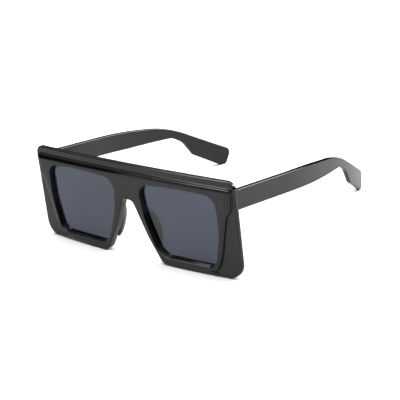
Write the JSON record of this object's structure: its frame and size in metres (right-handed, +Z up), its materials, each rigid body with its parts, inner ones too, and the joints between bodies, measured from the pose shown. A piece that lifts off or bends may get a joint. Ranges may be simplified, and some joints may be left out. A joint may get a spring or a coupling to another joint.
{
  "type": "sunglasses",
  "caption": "Square flat-topped full-rim sunglasses with a stepped front, tinted lenses, cemented nose pads and folding temples with down-turned tips.",
  "frame": {"origin": "bottom centre of the whole object's box, on the plane of symmetry and on the table it rests on", "axes": "+X towards the wearer's left, +Y from the front back along the temples, +Z up as the glasses stand open on a table"},
  "size_m": [0.1506, 0.1474, 0.0556],
  "materials": {
    "front_plastic": "polished black",
    "temple_plastic": "polished black",
    "pad_plastic": "polished black",
    "smoke_lens": "dark blue-grey tint, mostly opaque",
    "hinge_steel": "satin",
    "screw_steel": "bright",
    "core_wire_steel": "drawn"
  },
  "bodies": {
    "front": {"front_frame": "front_plastic", "left_lens": "smoke_lens", "right_lens": "smoke_lens", "left_nose_pad": "pad_plastic", "right_nose_pad": "pad_plastic", "left_front_hinge_leaf": "hinge_steel", "right_front_hinge_leaf": "hinge_steel", "left_front_leaf_screw_upper": "screw_steel", "left_front_leaf_screw_lower": "screw_steel", "right_front_leaf_screw_upper": "screw_steel", "right_front_leaf_screw_lower": "screw_steel", "left_hinge_screw": "screw_steel", "right_hinge_screw": "screw_steel"},
    "left_temple_arm": {"left_temple": "temple_plastic", "left_core_wire": "core_wire_steel", "left_temple_hinge_leaf": "hinge_steel", "left_temple_leaf_screw_front": "screw_steel", "left_temple_leaf_screw_rear": "screw_steel"},
    "right_temple_arm": {"right_temple": "temple_plastic", "right_core_wire": "core_wire_steel", "right_temple_hinge_leaf": "hinge_steel", "right_temple_leaf_screw_front": "screw_steel", "right_temple_leaf_screw_rear": "screw_steel"}
  },
  "joints": [
    {"name": "left_temple_fold", "type": "hinge", "parent": "front", "child": "left_temple_arm", "pos_m": [0.0706, -0.06614, 0.0446], "axis": [0, 0, 1], "range_deg": [0, 80]},
    {"name": "right_temple_fold", "type": "hinge", "parent": "front", "child": "right_temple_arm", "pos_m": [-0.0706, -0.06614, 0.0446], "axis": [0, 0, -1], "range_deg": [0, 68]}
  ]
}
